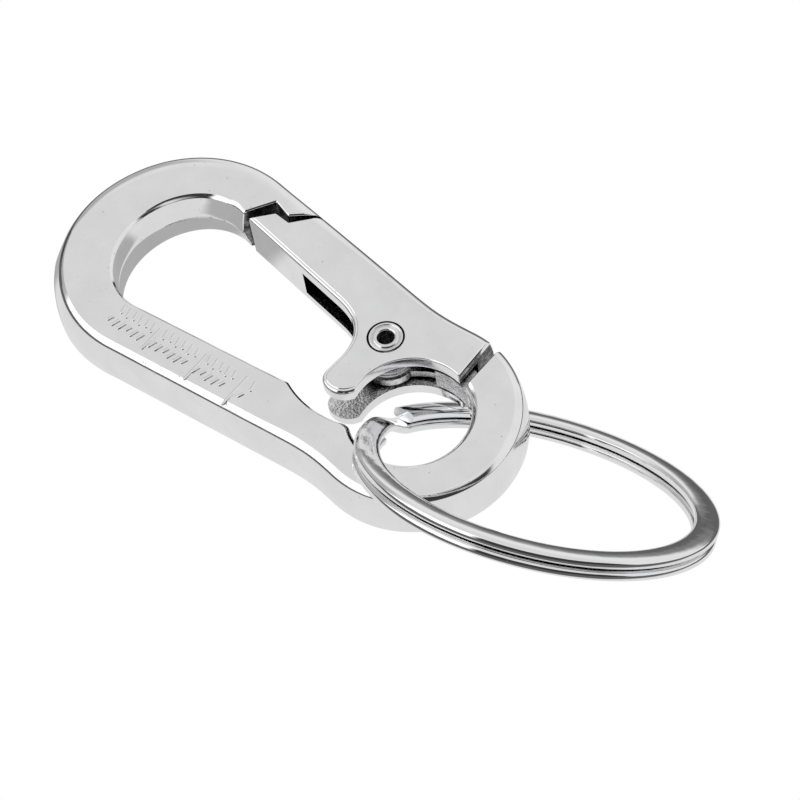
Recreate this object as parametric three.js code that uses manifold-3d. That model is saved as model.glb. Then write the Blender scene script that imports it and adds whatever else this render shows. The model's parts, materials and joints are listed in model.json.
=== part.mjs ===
// Carabiner keyring: a die-cast snap hook with a sprung gate, and a split ring through its eye.
// Millimetres, +Z up. The hook is drawn flat: x runs from the big loop to the eye, y points to
// the gate, the middle of the eye's hole is the origin and z = 0 is the upper face. One group
// then leans it as it rests on a table, on its spine and on the split ring, lowest point at z = 0.
import * as THREE from 'three';
import { mergeVertices } from 'three/addons/utils/BufferGeometryUtils.js';
import Module from 'manifold-3d';

// Driving dimensions of the hook
const THICKNESS = 5.2;
const EYE_TO_LOOP = 26.3;
const HOLE_RADIUS = 5.1;
const HOLE_BEVEL = 0.45;
const LOOP_INNER_RADIUS = 6.6;
const LOOP_INNER_REACH = 5.75;
const LOOP_OUTER_RADIUS = 10.5;
const LOOP_OUTER_REACH = 10.3;
const EYE_OUTER_RADIUS = 8.4;
const EYE_OUTER_SHIFT = 0.4;
const WALL_BULGE = 0.9;
const WALL_MIDDLE = 0.8;
const SPINE_TAPER = THREE.MathUtils.degToRad(7.7);
const GATE_TAPER = THREE.MathUtils.degToRad(6.0);
const INNER_TAPER = THREE.MathUtils.degToRad(8.3);
const WAIST_X = -8.0;
const WAIST_REACH = 3.0;
const WAIST_BLEND_ANGLE = THREE.MathUtils.degToRad(97);

// Driving dimensions of the gate, its pivot and the lug that carries it
const PIVOT = new THREE.Vector2(-6.4, 4.2);
const THROAT_RADIUS = 9.0;
const THROAT_START_ANGLE = THREE.MathUtils.degToRad(248.5);
const THROAT_END_ANGLE = THREE.MathUtils.degToRad(292);
const THROAT_EASE = 1.2;
const PLATE = 1.2;
const WEB = 1.3;
const GAP = 0.3;
const PIVOT_HOLE_RADIUS = 1.62;
const GATE_NOSE_SHIFT = new THREE.Vector2(0.7, -0.42);
const GATE_INNER_X = -8.2;
const NUB_ANGLE = THREE.MathUtils.degToRad(196);
const SLOT_START_X = -17.2;
const SLOT_CORNER = new THREE.Vector2(1.8, 8.2);
const LUG_OUTER_RADIUS = 7.0;
const BOSS_RADIUS = 2.4;
const BOSS_THICKNESS = 0.75;
const LUG_ROOT_ANGLE = THREE.MathUtils.degToRad(59);
const LUG_END_ANGLE = THREE.MathUtils.degToRad(109);
const LUG_NECK_INSET = 0.7;
const LUG_NECK_OVERLAP = 0.2;
const TAIL_ANGLE = THREE.MathUtils.degToRad(67);
const TAIL_LEAN = 0.4;
const GATE_TAIL_ANGLE = THREE.MathUtils.degToRad(79);

// Driving dimensions of the rivet, the torsion spring and the split ring
const RIVET_RADIUS = 1.33;
const RIVET_BORE_RADIUS = 0.72;
const RIVET_STAND = 0.12;
const RIVET_ROLL = 0.2;
const SPRING_RADIUS = 2.3;
const SPRING_WIRE_RADIUS = 0.2;
const SPRING_TURNS = 2;
const SPRING_PITCH = 0.42;
const SPRING_TOP = -1.7;
const SPRING_LONG_LEG = 6.0;
const SPRING_SHORT_LEG = 3.6;
const SPRING_STEPS = 90;
const WIRE_SIDES = 8;
const RING_OUTER_RADIUS = 15.0;
const RING_WIDTH = 2.1;
const COIL_THICKNESS = 0.9;
const COIL_GAP = 0.1;
const STRIP_CORNER = 0.25;
const STRIP_STEPS = 176;
const RING_STEP_ANGLE = THREE.MathUtils.degToRad(12);
const RING_STEP_PLACE = THREE.MathUtils.degToRad(186);
const RING_CENTRE = new THREE.Vector3(12.392, 1.264, -1.083);
const RING_NORMAL = new THREE.Vector3(-0.1617, 0.6142, 0.7725).normalize();

// How the hook leans at rest: on the lower edge of the spine and the eye, and on the split ring
const REST_PITCH = THREE.MathUtils.degToRad(1.74);
const REST_ROLL = THREE.MathUtils.degToRad(17.76);

const LOOP_X = -EYE_TO_LOOP;
const OVERSHOOT = 4;
const BEYOND = OVERSHOOT + THICKNESS;
const ARC_SEGMENTS = 20;
const ROUND_SEGMENTS = 40;

const wasm = await Module();
wasm.setup();

function solid(geometry) {
  const bare = geometry.clone();
  bare.deleteAttribute('normal');
  bare.deleteAttribute('uv');
  const merged = mergeVertices(bare, 1e-4);
  const mesh = new wasm.Mesh({
    numProp: 3,
    vertProperties: new Float32Array(merged.attributes.position.array),
    triVerts: new Uint32Array(merged.index.array),
  });
  return new wasm.Manifold(mesh);
}

function geometryOf(manifold) {
  const mesh = manifold.getMesh();
  const geometry = new THREE.BufferGeometry();
  geometry.setAttribute('position', new THREE.BufferAttribute(mesh.vertProperties, 3));
  geometry.setIndex(new THREE.BufferAttribute(mesh.triVerts, 1));
  return geometry;
}

// A flat-sided prism of a plan shape between two heights
function prism(shape, low, high) {
  const settings = { depth: high - low, bevelEnabled: false, curveSegments: ARC_SEGMENTS };
  return solid(new THREE.ExtrudeGeometry(shape, settings).translate(0, 0, low));
}

function disc(centre, radius, low, high) {
  const shape = new THREE.Shape();
  shape.absarc(centre.x, centre.y, radius, 0, 2 * Math.PI, false);
  return prism(shape, low, high);
}

function polar(radius, angle, centre = new THREE.Vector2()) {
  return new THREE.Vector2(centre.x + radius * Math.cos(angle), centre.y + radius * Math.sin(angle));
}

// A point on an ellipse that is flattened along x, at the angle that its outline curves are drawn by
function onLoop(reach, radius, angle) {
  return new THREE.Vector2(LOOP_X + reach * Math.cos(angle), radius * Math.sin(angle));
}

// The whole hook's outer outline at its flat faces, as if the gate were part of it
function outerOutline() {
  const eye = new THREE.Vector2(0, EYE_OUTER_SHIFT);
  const loopStart = Math.PI / 2 - GATE_TAPER;
  const loopEnd = 1.5 * Math.PI + SPINE_TAPER;
  const spineStart = onLoop(LOOP_OUTER_REACH, LOOP_OUTER_RADIUS, loopEnd);
  const spineRise = (WAIST_X - spineStart.x) * Math.tan(SPINE_TAPER);
  const spineEnd = new THREE.Vector2(WAIST_X, spineStart.y + spineRise);
  const gateStart = onLoop(LOOP_OUTER_REACH, LOOP_OUTER_RADIUS, loopStart);
  const gateDrop = (WAIST_X - gateStart.x) * Math.tan(GATE_TAPER);
  const gateEnd = new THREE.Vector2(WAIST_X, gateStart.y - gateDrop);
  const blend = WAIST_BLEND_ANGLE;
  const reach = WAIST_REACH;
  const spineSide = polar(EYE_OUTER_RADIUS, -blend, eye);
  const gateSide = polar(EYE_OUTER_RADIUS, blend, eye);
  const shape = new THREE.Shape();
  shape.moveTo(spineStart.x, spineStart.y);
  shape.lineTo(spineEnd.x, spineEnd.y);
  shape.bezierCurveTo(
    spineEnd.x + reach, spineEnd.y + reach * Math.tan(SPINE_TAPER),
    spineSide.x - reach, spineSide.y + reach * Math.tan(blend - Math.PI / 2),
    spineSide.x, spineSide.y,
  );
  shape.absarc(eye.x, eye.y, EYE_OUTER_RADIUS, -blend, blend, false);
  shape.bezierCurveTo(
    gateSide.x - reach, gateSide.y - reach * Math.tan(blend - Math.PI / 2),
    gateEnd.x + reach, gateEnd.y - reach * Math.tan(GATE_TAPER),
    gateEnd.x, gateEnd.y,
  );
  shape.lineTo(gateStart.x, gateStart.y);
  shape.absellipse(LOOP_X, 0, LOOP_OUTER_REACH, LOOP_OUTER_RADIUS, loopStart, loopEnd, false);
  return shape;
}

// The outline swollen into rounded side walls that are widest at half thickness
function blank() {
  const rounding = (THICKNESS - WALL_MIDDLE) / 2;
  const settings = {
    depth: WALL_MIDDLE,
    bevelThickness: rounding,
    bevelSize: WALL_BULGE,
    bevelSegments: 4,
    curveSegments: ARC_SEGMENTS,
  };
  const geometry = new THREE.ExtrudeGeometry(outerOutline(), settings);
  return solid(geometry.translate(0, 0, -THICKNESS + rounding));
}

// The Z-shaped joint at the nose, from the inside of the loop to beyond the outer edge
function noseJoint(shift) {
  const points = [[-25.1, 6.46], [-23.55, 9.0], [-21.6, 8.45], [-18.9, 12.1]];
  return points.map(([x, y]) => new THREE.Vector2(x + shift.x, y + shift.y));
}

// Everything inside the frame's inner edge, and everything where the gate goes
function frameOpening() {
  const hook = noseJoint(new THREE.Vector2(0, 0));
  const loopStart = Math.acos((hook[0].x - LOOP_X) / LOOP_INNER_REACH);
  const loopEnd = 1.5 * Math.PI + INNER_TAPER;
  const spine = onLoop(LOOP_INNER_REACH, LOOP_INNER_RADIUS, loopEnd);
  const easeX = polar(THROAT_RADIUS, THROAT_START_ANGLE, PIVOT).x - THROAT_EASE;
  const neck = polar(THROAT_RADIUS, THROAT_END_ANGLE, PIVOT);
  const tail = polar(HOLE_RADIUS, TAIL_ANGLE);
  const shape = new THREE.Shape();
  shape.moveTo(hook[3].x, hook[3].y);
  shape.lineTo(hook[2].x, hook[2].y);
  shape.lineTo(hook[1].x, hook[1].y);
  shape.lineTo(hook[0].x, hook[0].y);
  shape.absellipse(LOOP_X, 0, LOOP_INNER_REACH, LOOP_INNER_RADIUS, loopStart, loopEnd, false);
  shape.lineTo(easeX, spine.y + (easeX - spine.x) * Math.tan(INNER_TAPER));
  shape.absarc(PIVOT.x, PIVOT.y, THROAT_RADIUS, THROAT_START_ANGLE, THROAT_END_ANGLE, false);
  shape.absarc(0, 0, HOLE_RADIUS, Math.atan2(neck.y, neck.x), TAIL_ANGLE, false);
  shape.lineTo(tail.x - TAIL_LEAN, tail.y + BEYOND);
  return shape;
}

// The tongue of the frame that reaches between the gate's plates and carries the rivet
function lug() {
  const low = -THICKNESS + PLATE + GAP;
  const high = -PLATE - GAP;
  const body = new THREE.Shape();
  body.absarc(0, 0, LUG_OUTER_RADIUS, LUG_ROOT_ANGLE, LUG_END_ANGLE, false);
  body.absarc(0, 0, HOLE_RADIUS, LUG_END_ANGLE, LUG_ROOT_ANGLE, true);
  const neck = new THREE.Shape();
  const neckStart = LUG_END_ANGLE - LUG_NECK_OVERLAP;
  neck.absarc(0, 0, LUG_OUTER_RADIUS, neckStart, PIVOT.angle(), false);
  neck.absarc(0, 0, HOLE_RADIUS + LUG_NECK_INSET, PIVOT.angle(), neckStart, true);
  return prism(body, low, high)
    .add(prism(neck, low, low + BOSS_THICKNESS))
    .add(disc(PIVOT, BOSS_RADIUS, low, low + BOSS_THICKNESS))
    .subtract(disc(PIVOT, PIVOT_HOLE_RADIUS, -THICKNESS, 0));
}

// A cone that takes the edge off the eye's hole, half of it beyond the face that it cuts
function holeBevel(topRadius, bottomRadius, level) {
  const cone = new THREE.CylinderGeometry(topRadius, bottomRadius, 2 * HOLE_BEVEL, ROUND_SEGMENTS);
  return solid(cone.rotateX(Math.PI / 2).translate(0, 0, level));
}

function frame() {
  const wide = HOLE_RADIUS + 2 * HOLE_BEVEL;
  return blank()
    .subtract(prism(frameOpening(), -BEYOND, OVERSHOOT))
    .subtract(holeBevel(wide, HOLE_RADIUS, 0))
    .subtract(holeBevel(HOLE_RADIUS, wide, -THICKNESS))
    .add(lug());
}

function gatePlan() {
  const nose = noseJoint(GATE_NOSE_SHIFT);
  const nub = polar(HOLE_RADIUS, NUB_ANGLE);
  const shape = new THREE.Shape();
  shape.moveTo(nose[3].x, nose[3].y);
  shape.lineTo(nose[2].x, nose[2].y);
  shape.lineTo(nose[1].x, nose[1].y);
  shape.lineTo(nose[0].x, nose[0].y);
  shape.lineTo(-12.4, 4.65);
  shape.bezierCurveTo(-9.7, 4.2, GATE_INNER_X, 3.0, GATE_INNER_X, 0.2);
  shape.lineTo(GATE_INNER_X, -1.2);
  shape.bezierCurveTo(GATE_INNER_X, -2.9, -5.6, -3.0, nub.x, nub.y);
  shape.absarc(0, 0, HOLE_RADIUS, NUB_ANGLE, GATE_TAIL_ANGLE, true);
  shape.lineTo(TAIL_LEAN, HOLE_RADIUS + BEYOND);
  return shape;
}

// The space between the gate's two plates, closed only by the web along its outer edge
function slotPlan() {
  const outer = EYE_OUTER_SHIFT + EYE_OUTER_RADIUS - WEB;
  const shape = new THREE.Shape();
  shape.moveTo(SLOT_START_X, -OVERSHOOT);
  shape.lineTo(SLOT_START_X, 6.6);
  shape.quadraticCurveTo(SLOT_START_X, SLOT_CORNER.y, SLOT_START_X + SLOT_CORNER.x, SLOT_CORNER.y);
  shape.lineTo(-6.0, 7.15);
  shape.quadraticCurveTo(-3.5, 6.95, 0, outer);
  shape.lineTo(OVERSHOOT, outer);
  shape.lineTo(OVERSHOOT, -OVERSHOOT);
  return shape;
}

function gate() {
  return blank()
    .intersect(prism(gatePlan(), -BEYOND, OVERSHOOT))
    .subtract(prism(slotPlan(), -THICKNESS + PLATE, -PLATE))
    .subtract(disc(PIVOT, PIVOT_HOLE_RADIUS, -BEYOND, OVERSHOOT));
}

// A tubular rivet with both ends rolled over a little
function rivet() {
  const half = THICKNESS / 2 + RIVET_STAND;
  const roll = RIVET_ROLL;
  const profile = [
    new THREE.Vector2(RIVET_BORE_RADIUS, -half + roll),
    new THREE.Vector2(RIVET_BORE_RADIUS + roll, -half),
    new THREE.Vector2(RIVET_RADIUS - roll, -half),
    new THREE.Vector2(RIVET_RADIUS, -half + roll),
    new THREE.Vector2(RIVET_RADIUS, half - roll),
    new THREE.Vector2(RIVET_RADIUS - roll, half),
    new THREE.Vector2(RIVET_BORE_RADIUS + roll, half),
    new THREE.Vector2(RIVET_BORE_RADIUS, half - roll),
    new THREE.Vector2(RIVET_BORE_RADIUS, -half + roll),
  ];
  const geometry = new THREE.LatheGeometry(profile, ROUND_SEGMENTS);
  geometry.rotateX(Math.PI / 2);
  geometry.translate(PIVOT.x, PIVOT.y, -THICKNESS / 2);
  return geometry;
}

// Centre line of the torsion spring: one leg along the web, the coils, one leg to the lug
class SpringLine extends THREE.Curve {
  getPoint(t, target = new THREE.Vector3()) {
    const coilLength = SPRING_TURNS * 2 * Math.PI * SPRING_RADIUS;
    const along = t * (SPRING_LONG_LEG + coilLength + SPRING_SHORT_LEG);
    if (along < SPRING_LONG_LEG) {
      return target.set(PIVOT.x - (SPRING_LONG_LEG - along), PIVOT.y + SPRING_RADIUS, SPRING_TOP);
    }
    const turned = Math.min(along - SPRING_LONG_LEG, coilLength) / SPRING_RADIUS;
    const angle = Math.PI / 2 - turned;
    const x = PIVOT.x + SPRING_RADIUS * Math.cos(angle);
    const y = PIVOT.y + SPRING_RADIUS * Math.sin(angle);
    const z = SPRING_TOP - SPRING_PITCH * turned / (2 * Math.PI);
    const beyond = Math.max(along - SPRING_LONG_LEG - coilLength, 0);
    return target.set(x + beyond, y, z);
  }
}

function circleShape(radius, sides) {
  const shape = new THREE.Shape();
  for (let i = 0; i < sides; i += 1) {
    const angle = 2 * Math.PI * i / sides;
    const method = i === 0 ? 'moveTo' : 'lineTo';
    shape[method](radius * Math.cos(angle), radius * Math.sin(angle));
  }
  return shape;
}

function spring() {
  const settings = { steps: SPRING_STEPS, bevelEnabled: false, extrudePath: new SpringLine() };
  return new THREE.ExtrudeGeometry(circleShape(SPRING_WIRE_RADIUS, WIRE_SIDES), settings);
}

// The split ring's strip: two turns lying on each other, with one step between them
function splitRing() {
  const middle = RING_OUTER_RADIUS - RING_WIDTH / 2;
  const rise = (COIL_THICKNESS + COIL_GAP) / 2;
  const corner = STRIP_CORNER;
  const halfWidth = RING_WIDTH / 2;
  const halfThickness = COIL_THICKNESS / 2;
  const section = [
    [halfWidth - corner, -halfThickness], [halfWidth, -halfThickness + corner],
    [halfWidth, halfThickness - corner], [halfWidth - corner, halfThickness],
    [-halfWidth + corner, halfThickness], [-halfWidth, halfThickness - corner],
    [-halfWidth, -halfThickness + corner], [-halfWidth + corner, -halfThickness],
  ];
  const steps = STRIP_STEPS;
  const start = RING_STEP_ANGLE;
  const end = 4 * Math.PI - RING_STEP_ANGLE;
  const positions = [];
  for (let i = 0; i <= steps; i += 1) {
    const angle = start + (end - start) * i / steps;
    const pastStep = angle - 2 * Math.PI;
    const climb = THREE.MathUtils.smoothstep(pastStep, -RING_STEP_ANGLE, RING_STEP_ANGLE);
    const height = -rise + 2 * rise * climb;
    for (const [across, up] of section) {
      const place = polar(middle + across, angle + RING_STEP_PLACE);
      positions.push(place.x, place.y, height + up);
    }
  }
  const sides = section.length;
  const index = [];
  for (let i = 0; i < steps; i += 1) {
    for (let j = 0; j < sides; j += 1) {
      const a = i * sides + j;
      const b = i * sides + (j + 1) % sides;
      index.push(a, a + sides, b, b, a + sides, b + sides);
    }
  }
  const last = steps * sides;
  for (let j = 1; j < sides - 1; j += 1) {
    index.push(0, j, j + 1);
    index.push(last, last + j + 1, last + j);
  }
  const geometry = new THREE.BufferGeometry();
  geometry.setAttribute('position', new THREE.Float32BufferAttribute(positions, 3));
  geometry.setIndex(index);
  return geometry;
}

function metal(colour, roughness) {
  return new THREE.MeshStandardMaterial({ color: colour, roughness, metalness: 1 });
}

function piece(name, geometry, material) {
  geometry.computeVertexNormals();
  const mesh = new THREE.Mesh(geometry, material);
  mesh.name = name;
  return mesh;
}

const ring = piece('split_ring', splitRing(), metal(0xd2d4d6, 0.16));
ring.position.copy(RING_CENTRE);
const ringAcross = new THREE.Vector3(1, 0, 0).projectOnPlane(RING_NORMAL).normalize();
const ringAlong = new THREE.Vector3().crossVectors(RING_NORMAL, ringAcross);
ring.quaternion.setFromRotationMatrix(new THREE.Matrix4().makeBasis(ringAcross, ringAlong, RING_NORMAL));

const group = new THREE.Group();
group.add(piece('frame', geometryOf(frame()), metal(0xdcdee0, 0.1)));
group.add(piece('gate', geometryOf(gate()), metal(0xdcdee0, 0.12)));
group.add(piece('rivet', rivet(), metal(0xc8cacc, 0.2)));
group.add(piece('gate_spring', spring(), metal(0x9fa2a5, 0.3)));
group.add(ring);
group.rotation.set(REST_ROLL, REST_PITCH, 0);
const box = new THREE.Box3().setFromObject(group, true);
const middle = box.getCenter(new THREE.Vector3());
group.position.set(-middle.x, -middle.y, -box.min.z);

export default group;
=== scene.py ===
import json
import math

import bmesh
import bpy
import numpy as np
from mathutils import Matrix, Vector


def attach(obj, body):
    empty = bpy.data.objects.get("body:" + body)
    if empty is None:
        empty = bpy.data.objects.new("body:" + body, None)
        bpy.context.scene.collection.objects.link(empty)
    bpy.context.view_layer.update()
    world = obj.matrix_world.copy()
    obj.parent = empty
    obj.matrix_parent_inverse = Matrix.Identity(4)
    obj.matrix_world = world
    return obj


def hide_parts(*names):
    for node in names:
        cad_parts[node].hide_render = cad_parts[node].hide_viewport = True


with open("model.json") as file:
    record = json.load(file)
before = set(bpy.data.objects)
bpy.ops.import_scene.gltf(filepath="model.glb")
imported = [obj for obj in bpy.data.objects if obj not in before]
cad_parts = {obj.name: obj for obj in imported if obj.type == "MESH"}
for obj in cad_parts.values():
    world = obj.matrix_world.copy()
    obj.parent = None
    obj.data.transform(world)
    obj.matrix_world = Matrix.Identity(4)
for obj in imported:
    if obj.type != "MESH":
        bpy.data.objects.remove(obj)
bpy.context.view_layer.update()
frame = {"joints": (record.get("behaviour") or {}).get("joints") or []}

# Sizes are in millimetres in the hook's own frame, as in the CAD: x from the big loop to the eye,
# y towards the gate, z = 0 on the upper face, and the eye hole's centre as the origin.
MM = 0.001
THICKNESS = 5.2
LOOP_X = -26.3
LOOP_INNER = 6.52
LOOP_INNER_REACH = 5.7
LOOP_OUTER = 10.5
LOOP_OUTER_REACH = 10.3
HOLE = 5.1
EYE_OUTER = 8.4
EYE_SHIFT = 0.4
SPINE_TAPER = math.radians(7.7)
GATE_TAPER = math.radians(6.0)
INNER_TAPER = math.radians(8.3)
WAIST_X = -8.0
BLEND_ANGLE = math.radians(97)
PIVOT = (-6.4, 4.2)
THROAT = 9.0
PLATE = 1.2
WEB = 1.3
RIVET_HOLE = 1.62
RING_OUTER = 14.98
RING_WIDTH = 2.08
COIL = 0.92
COIL_GAP = 0.06
SWIVEL_Y = 0.5
RING_CENTRE = Vector((12.392, 1.264, -1.083))
RING_NORMAL = Vector((-0.1617, 0.6142, 0.7725)).normalized()


# ---------------------------------------------------------------- placing

SHARP_DEGREES = 24
BROAD_FACE = 16
CLOSE = 1e-7
FLAT_FACE_WEIGHT = 90


def joint(name):
    return next(j for j in frame["joints"] if j["name"] == name)


def hook_to_row():
    """The hook's own frame in the row frame, from the two joints' axes and the swivel's place."""
    up = Vector(joint("gate_hinge")["axis"]).normalized()
    along = -Vector(joint("ring_swivel")["axis"]).normalized()
    side = up.cross(along)
    turn = Matrix((along, side, up)).transposed()
    swivel = Vector((0, SWIVEL_Y, -THICKNESS / 2)) * MM
    place = Vector(joint("ring_swivel")["pos_m"]) - turn @ swivel
    return Matrix.Translation(place) @ turn.to_4x4()


HOOK = hook_to_row()
TO_ROW = HOOK @ Matrix.Scale(MM, 4)
TO_HOOK = TO_ROW.inverted()


def ring_place():
    """The split ring's own frame, in millimetres of the hook's frame."""
    across = (Vector((1, 0, 0)) - RING_NORMAL * RING_NORMAL.x).normalized()
    along = RING_NORMAL.cross(across)
    turn = Matrix((across, along, RING_NORMAL)).transposed().to_4x4()
    return Matrix.Translation(RING_CENTRE) @ turn


def mesh_object(name, vertices, faces, local=Matrix.Identity(4)):
    """A closed object from millimetre points of the hook's frame, or of a frame that local places in it."""
    mesh = bpy.data.meshes.new(name)
    mesh.from_pydata([tuple(v) for v in vertices], [], [tuple(f) for f in faces])
    mesh.validate()
    mesh.transform(TO_ROW @ local)
    thing = bpy.data.objects.new(name, mesh)
    bpy.context.scene.collection.objects.link(thing)
    recalculate(thing)
    return thing


def recalculate(thing):
    """Joins doubled points and turns all faces outwards."""
    shape = bmesh.new()
    shape.from_mesh(thing.data)
    bmesh.ops.remove_doubles(shape, verts=shape.verts, dist=CLOSE)
    bmesh.ops.recalc_face_normals(shape, faces=shape.faces)
    shape.to_mesh(thing.data)
    shape.free()


def shade(thing, sharp_degrees=SHARP_DEGREES):
    """Smooth shading with hard edges past an angle, and flat faces kept flat."""
    shape = bmesh.new()
    shape.from_mesh(thing.data)
    limit = math.radians(sharp_degrees)
    for face in shape.faces:
        face.smooth = True
    for edge in shape.edges:
        broad = any(len(face.verts) > BROAD_FACE for face in edge.link_faces)
        edge.smooth = len(edge.link_faces) == 2 and not broad and edge.calc_face_angle(0) < limit
    shape.to_mesh(thing.data)
    shape.free()
    weights = thing.modifiers.new("flat_faces", "WEIGHTED_NORMAL")
    weights.keep_sharp = True
    weights.weight = FLAT_FACE_WEIGHT


# ---------------------------------------------------------------- plan outlines

def on_circle(cx, cy, radius, angle):
    return (cx + radius * math.cos(angle), cy + radius * math.sin(angle))


def arc(cx, cy, radius, start, end, steps):
    return [on_circle(cx, cy, radius, start + (end - start) * i / steps) for i in range(steps + 1)]


def circle(centre, radius, steps):
    return arc(*centre, radius, 0, 2 * math.pi, steps)[:-1]


def loop_point(reach, radius, angle):
    return (LOOP_X + reach * math.cos(angle), radius * math.sin(angle))


def loop_arc(reach, radius, start, end, steps):
    return [loop_point(reach, radius, start + (end - start) * i / steps) for i in range(steps + 1)]


def cubic(a, b, c, d, steps):
    points = []
    for i in range(steps + 1):
        t = i / steps
        s = 1 - t
        weights = (s ** 3, 3 * s * s * t, 3 * s * t * t, t ** 3)
        points.append(tuple(sum(w * p[k] for w, p in zip(weights, (a, b, c, d))) for k in (0, 1)))
    return points


def straight(a, b, steps):
    return [tuple(a[k] + (b[k] - a[k]) * i / steps for k in (0, 1)) for i in range(steps + 1)]


def line_at(start, x, slope):
    return (x, start[1] + (x - start[0]) * slope)


def crossing(point, direction, centre, radius):
    """Where a line from a point inside a circle leaves it."""
    dx, dy = direction
    ox, oy = point[0] - centre[0], point[1] - centre[1]
    a = dx * dx + dy * dy
    b = 2 * (ox * dx + oy * dy)
    c = ox * ox + oy * oy - radius * radius
    t = (-b + math.sqrt(b * b - 4 * a * c)) / (2 * a)
    return (point[0] + t * dx, point[1] + t * dy)


OUTER_START = math.pi / 2 - GATE_TAPER
OUTER_END = 1.5 * math.pi + SPINE_TAPER
INNER_START = 1.5 * math.pi + INNER_TAPER
SPINE_START = loop_point(LOOP_OUTER_REACH, LOOP_OUTER, OUTER_END)
SPINE_END = line_at(SPINE_START, WAIST_X, math.tan(SPINE_TAPER))
GATE_START = loop_point(LOOP_OUTER_REACH, LOOP_OUTER, OUTER_START)
GATE_END = line_at(GATE_START, WAIST_X, -math.tan(GATE_TAPER))
SPINE_BLEND = on_circle(0, EYE_SHIFT, EYE_OUTER, -BLEND_ANGLE)
GATE_BLEND = on_circle(0, EYE_SHIFT, EYE_OUTER, BLEND_ANGLE)
WAIST_REACH = 3.0
FRAME_NOSE = [(-25.1, 6.42), (-23.62, 8.98), (-21.75, 8.5), (-19.55, 10.4)]
GATE_NOSE = [(-24.4, 6.2), (-22.8, 8.12), (-21.2, 8.06), (-19.35, 10.3)]
FRAME_TAIL_ANGLE = math.radians(67)
FRAME_TAIL_RUN = (-0.04, 1.0)
GATE_TAIL_ANGLE = math.radians(79)
GATE_TAIL_RUN = (-0.09, 1.0)
THROAT_NECK = math.pi + math.radians(112)
THROAT_STEP = math.pi + math.radians(68.5)
STEP_RUN = 0.9
GATE_BELLY = (-12.4, 4.65)
NUB_BACK = [(-8.2, 0.2), (-8.2, -1.2)]
NUB_ANGLE = math.pi + math.radians(16)


def waist_spine():
    rise = WAIST_REACH * math.tan(SPINE_TAPER)
    lift = WAIST_REACH * math.tan(BLEND_ANGLE - math.pi / 2)
    return cubic(
        SPINE_END, (SPINE_END[0] + WAIST_REACH, SPINE_END[1] + rise),
        (SPINE_BLEND[0] - WAIST_REACH, SPINE_BLEND[1] + lift), SPINE_BLEND, 24,
    )


def waist_gate():
    drop = WAIST_REACH * math.tan(GATE_TAPER)
    fall = WAIST_REACH * math.tan(BLEND_ANGLE - math.pi / 2)
    return cubic(
        GATE_BLEND, (GATE_BLEND[0] - WAIST_REACH, GATE_BLEND[1] - fall),
        (GATE_END[0] + WAIST_REACH, GATE_END[1] - drop), GATE_END, 24,
    )


def tail_line(angle, run):
    """The cut across a tail, from the hole's edge to the eye's outer edge."""
    tail_in = on_circle(0, 0, HOLE, angle)
    return tail_in, crossing(tail_in, run, (0, EYE_SHIFT), EYE_OUTER)


def eye_angle(point):
    return math.atan2(point[1] - EYE_SHIFT, point[0])


def on_gate_line(a, b):
    """Where the line a-b meets the gate's straight outer edge."""
    slope = -math.tan(GATE_TAPER)
    dx, dy = b[0] - a[0], b[1] - a[1]
    t = (GATE_START[1] + (a[0] - GATE_START[0]) * slope - a[1]) / (dy - slope * dx)
    return (a[0] + t * dx, a[1] + t * dy)


def chain(*pieces):
    """Joins (kind, points) stretches into one closed outline of (point, kind of the edge after it)."""
    outline = []
    for kind, points in pieces:
        for point in points[:-1]:
            outline.append((point, kind))
    return outline


def frame_outline():
    tail_in, tail_out = tail_line(FRAME_TAIL_ANGLE, FRAME_TAIL_RUN)
    nose_out = on_gate_line(FRAME_NOSE[2], FRAME_NOSE[3])
    nose_angle = math.acos((FRAME_NOSE[0][0] - LOOP_X) / LOOP_INNER_REACH)
    spine_in = loop_point(LOOP_INNER_REACH, LOOP_INNER, INNER_START)
    step = on_circle(*PIVOT, THROAT, THROAT_STEP)
    neck = on_circle(*PIVOT, THROAT, THROAT_NECK)
    corner = line_at(spine_in, step[0] - STEP_RUN, math.tan(INNER_TAPER))
    step_pull = (step[0] - 0.35, step[1] + 0.13)
    corner_pull = (corner[0] + 0.3, corner[1] + 0.04)
    return chain(
        ("outer", straight(nose_out, GATE_START, 6)),
        ("outer", loop_arc(LOOP_OUTER_REACH, LOOP_OUTER, OUTER_START, OUTER_END, 130)),
        ("outer", straight(SPINE_START, SPINE_END, 24)),
        ("outer", waist_spine()),
        ("outer", arc(0, EYE_SHIFT, EYE_OUTER, -BLEND_ANGLE, eye_angle(tail_out), 90)),
        ("cut", straight(tail_out, tail_in, 3)),
        ("hole", arc(0, 0, HOLE, FRAME_TAIL_ANGLE, math.atan2(neck[1], neck[0]), 110)),
        ("inner", arc(*PIVOT, THROAT, THROAT_NECK, THROAT_STEP, 24)),
        ("inner", cubic(step, step_pull, corner_pull, corner, 8)),
        ("inner", straight(corner, spine_in, 24)),
        ("inner", loop_arc(LOOP_INNER_REACH, LOOP_INNER, INNER_START, nose_angle, 110)),
        ("cut", straight(FRAME_NOSE[0], FRAME_NOSE[1], 3)),
        ("cut", straight(FRAME_NOSE[1], FRAME_NOSE[2], 3)),
        ("cut", straight(FRAME_NOSE[2], nose_out, 3)),
    )


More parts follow.
